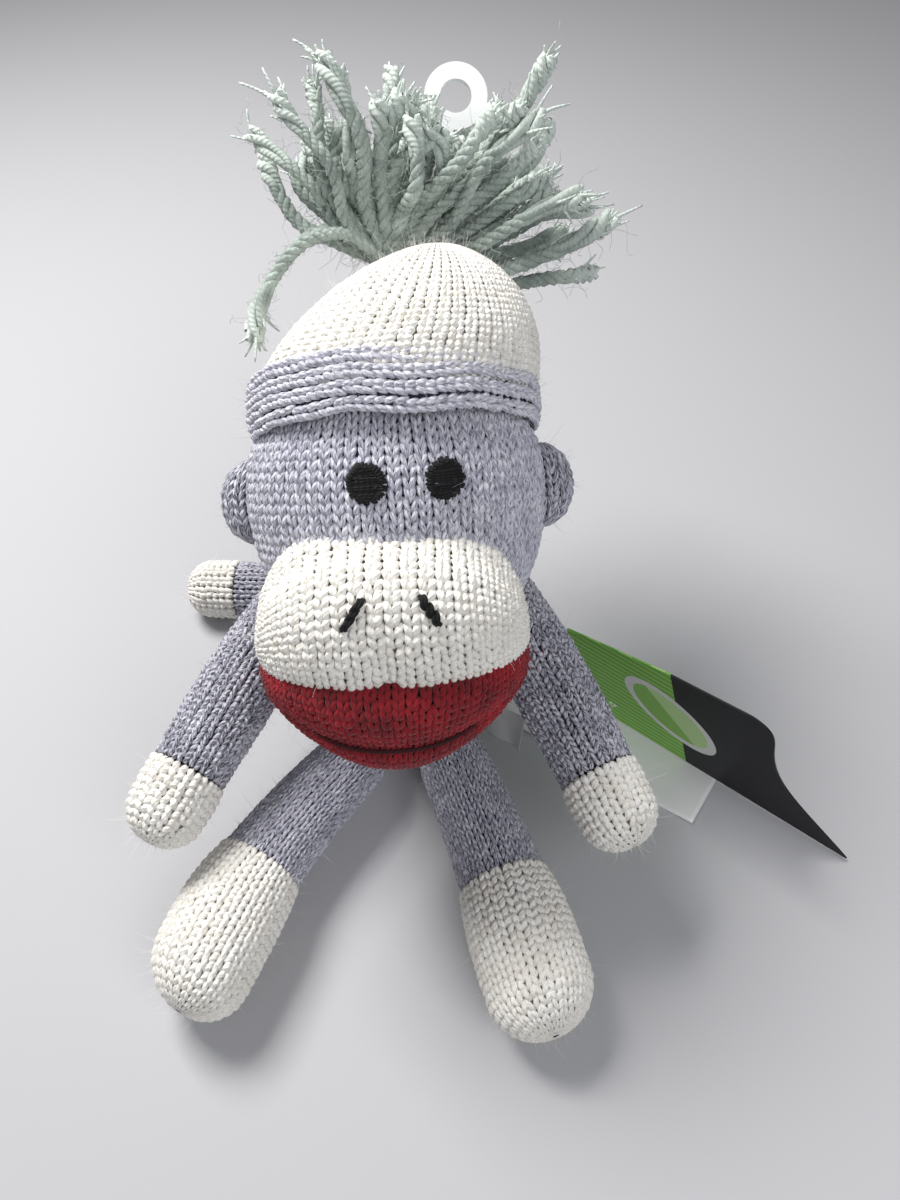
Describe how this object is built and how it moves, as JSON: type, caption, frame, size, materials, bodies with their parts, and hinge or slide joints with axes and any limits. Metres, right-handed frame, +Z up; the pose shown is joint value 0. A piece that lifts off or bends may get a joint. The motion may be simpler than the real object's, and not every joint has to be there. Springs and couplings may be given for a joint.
{
  "type": "stuffed monkey",
  "caption": "Knitted stuffed monkey sitting up, with a bobble hat, jointed head, arms, legs and tail, and a card tag on a nylon loop.",
  "frame": {"origin": "middle of the flat seat that the monkey sits on", "axes": "+Z up; the monkey faces -Y; +X is towards its left arm, the side with the card tag"},
  "size_m": [0.2024, 0.1987, 0.1808],
  "materials": {
    "grey_knit": "matte",
    "cream_knit": "matte",
    "red_knit": "matte",
    "stuffing": "matte",
    "grey_thread": "matte",
    "dark_thread": "satin",
    "lip_thread": "matte",
    "sage_yarn": "matte",
    "white_plastic": "satin",
    "printed_card": "satin",
    "clear_nylon": "gloss",
    "satin_ribbon": "satin"
  },
  "bodies": {
    "torso": {"torso_casing": "grey_knit", "torso_stuffing": "stuffing"},
    "neck": {"neck_seam": "grey_thread"},
    "head": {"ear_left": "grey_knit", "ear_right": "grey_knit", "eye_left": "dark_thread", "eye_right": "dark_thread", "hat_crown": "cream_knit", "hat_cuff": "grey_knit", "hat_stuffing": "stuffing", "head_casing": "grey_knit", "head_stuffing": "stuffing", "mouth": "red_knit", "mouth_line": "lip_thread", "muzzle_stuffing": "stuffing", "muzzle_upper": "cream_knit", "nostril_left": "dark_thread", "nostril_right": "dark_thread"},
    "shoulder_left": {"arm_seam_left": "grey_thread"},
    "arm_left": {"arm_sleeve_left": "grey_knit", "hand_left": "cream_knit", "arm_stuffing_left": "stuffing"},
    "hip_left": {"leg_seam_left": "grey_thread"},
    "leg_left": {"leg_sleeve_left": "grey_knit", "foot_left": "cream_knit", "leg_stuffing_left": "stuffing"},
    "shoulder_right": {"arm_seam_right": "grey_thread"},
    "arm_right": {"arm_sleeve_right": "grey_knit", "hand_right": "cream_knit", "arm_stuffing_right": "stuffing"},
    "hip_right": {"leg_seam_right": "grey_thread"},
    "leg_right": {"leg_sleeve_right": "grey_knit", "foot_right": "cream_knit", "leg_stuffing_right": "stuffing"},
    "tail_root": {"tail_seam": "grey_thread"},
    "tail": {"tail_sleeve": "grey_knit", "tail_tip": "cream_knit", "tail_stuffing": "stuffing"},
    "tassel": {"tassel_tie": "sage_yarn", "tassel": "sage_yarn"},
    "hook": {"hang_hook": "white_plastic"},
    "card_tag": {"swing_card": "printed_card", "tag_fastener": "clear_nylon"},
    "care_ribbon": {"care_label": "satin_ribbon"},
    "small_ribbon": {"small_label": "satin_ribbon"}
  },
  "joints": [
    {"name": "neck_turn", "type": "hinge", "parent": "torso", "child": "neck", "pos_m": [0, 0, 0.06], "axis": [0, 0, 1], "range_deg": [-20, 20]},
    {"name": "head_nod", "type": "hinge", "parent": "neck", "child": "head", "pos_m": [0, 0, 0.06], "axis": [1, 0, 0], "range_deg": [-14, 4]},
    {"name": "arm_swing_left", "type": "hinge", "parent": "torso", "child": "shoulder_left", "pos_m": [-0.0255, 0.004, 0.0535], "axis": [1, 0, 0], "range_deg": [-26, 22]},
    {"name": "arm_spread_left", "type": "hinge", "parent": "shoulder_left", "child": "arm_left", "pos_m": [-0.0255, 0.004, 0.0535], "axis": [0, 0, 1], "range_deg": [-30, 10]},
    {"name": "leg_swing_left", "type": "hinge", "parent": "torso", "child": "hip_left", "pos_m": [-0.015, -0.033, 0.0146], "axis": [1, 0, 0], "range_deg": [-12, 75]},
    {"name": "leg_spread_left", "type": "hinge", "parent": "hip_left", "child": "leg_left", "pos_m": [-0.015, -0.033, 0.0146], "axis": [0, 0, 1], "range_deg": [-12, 10]},
    {"name": "arm_swing_right", "type": "hinge", "parent": "torso", "child": "shoulder_right", "pos_m": [0.0255, 0.004, 0.0535], "axis": [1, 0, 0], "range_deg": [-26, 22]},
    {"name": "arm_spread_right", "type": "hinge", "parent": "shoulder_right", "child": "arm_right", "pos_m": [0.0255, 0.004, 0.0535], "axis": [0, 0, 1], "range_deg": [-10, 6]},
    {"name": "leg_swing_right", "type": "hinge", "parent": "torso", "child": "hip_right", "pos_m": [0.015, -0.033, 0.0146], "axis": [1, 0, 0], "range_deg": [-12, 75]},
    {"name": "leg_spread_right", "type": "hinge", "parent": "hip_right", "child": "leg_right", "pos_m": [0.015, -0.033, 0.0146], "axis": [0, 0, 1], "range_deg": [-10, 12]},
    {"name": "tail_wag", "type": "hinge", "parent": "torso", "child": "tail_root", "pos_m": [-0.008, 0.035, 0.0104], "axis": [0, 0, 1], "range_deg": [-40, 8]},
    {"name": "tail_lift", "type": "hinge", "parent": "tail_root", "child": "tail", "pos_m": [-0.008, 0.035, 0.0104], "axis": [0, 1, 0], "range_deg": [0, 20]},
    {"name": "tassel_flop", "type": "hinge", "parent": "head", "child": "tassel", "pos_m": [0.00042, 0.04124, 0.13035], "axis": [1, 0, 0], "range_deg": [-12, 12]},
    {"name": "hook_swivel", "type": "hinge", "parent": "tassel", "child": "hook", "pos_m": [0.00042, 0.04124, 0.13035], "axis": [0.3665, 0.5981, 0.7127], "range_deg": [-30, 30]},
    {"name": "tag_swing", "type": "hinge", "parent": "torso", "child": "card_tag", "pos_m": [0.0272, 0.002, 0.012], "axis": [0, 0, 1], "range_deg": [-5, 12]},
    {"name": "care_label_swing", "type": "hinge", "parent": "torso", "child": "care_ribbon", "pos_m": [0.0285, 0.0075, 0.0003], "axis": [0, 0, 1], "range_deg": [-20, 10]},
    {"name": "small_label_flap", "type": "hinge", "parent": "torso", "child": "small_ribbon", "pos_m": [0.0255, -0.017, 0.015], "axis": [0, 0, 1], "range_deg": [-10, 10]}
  ]
}
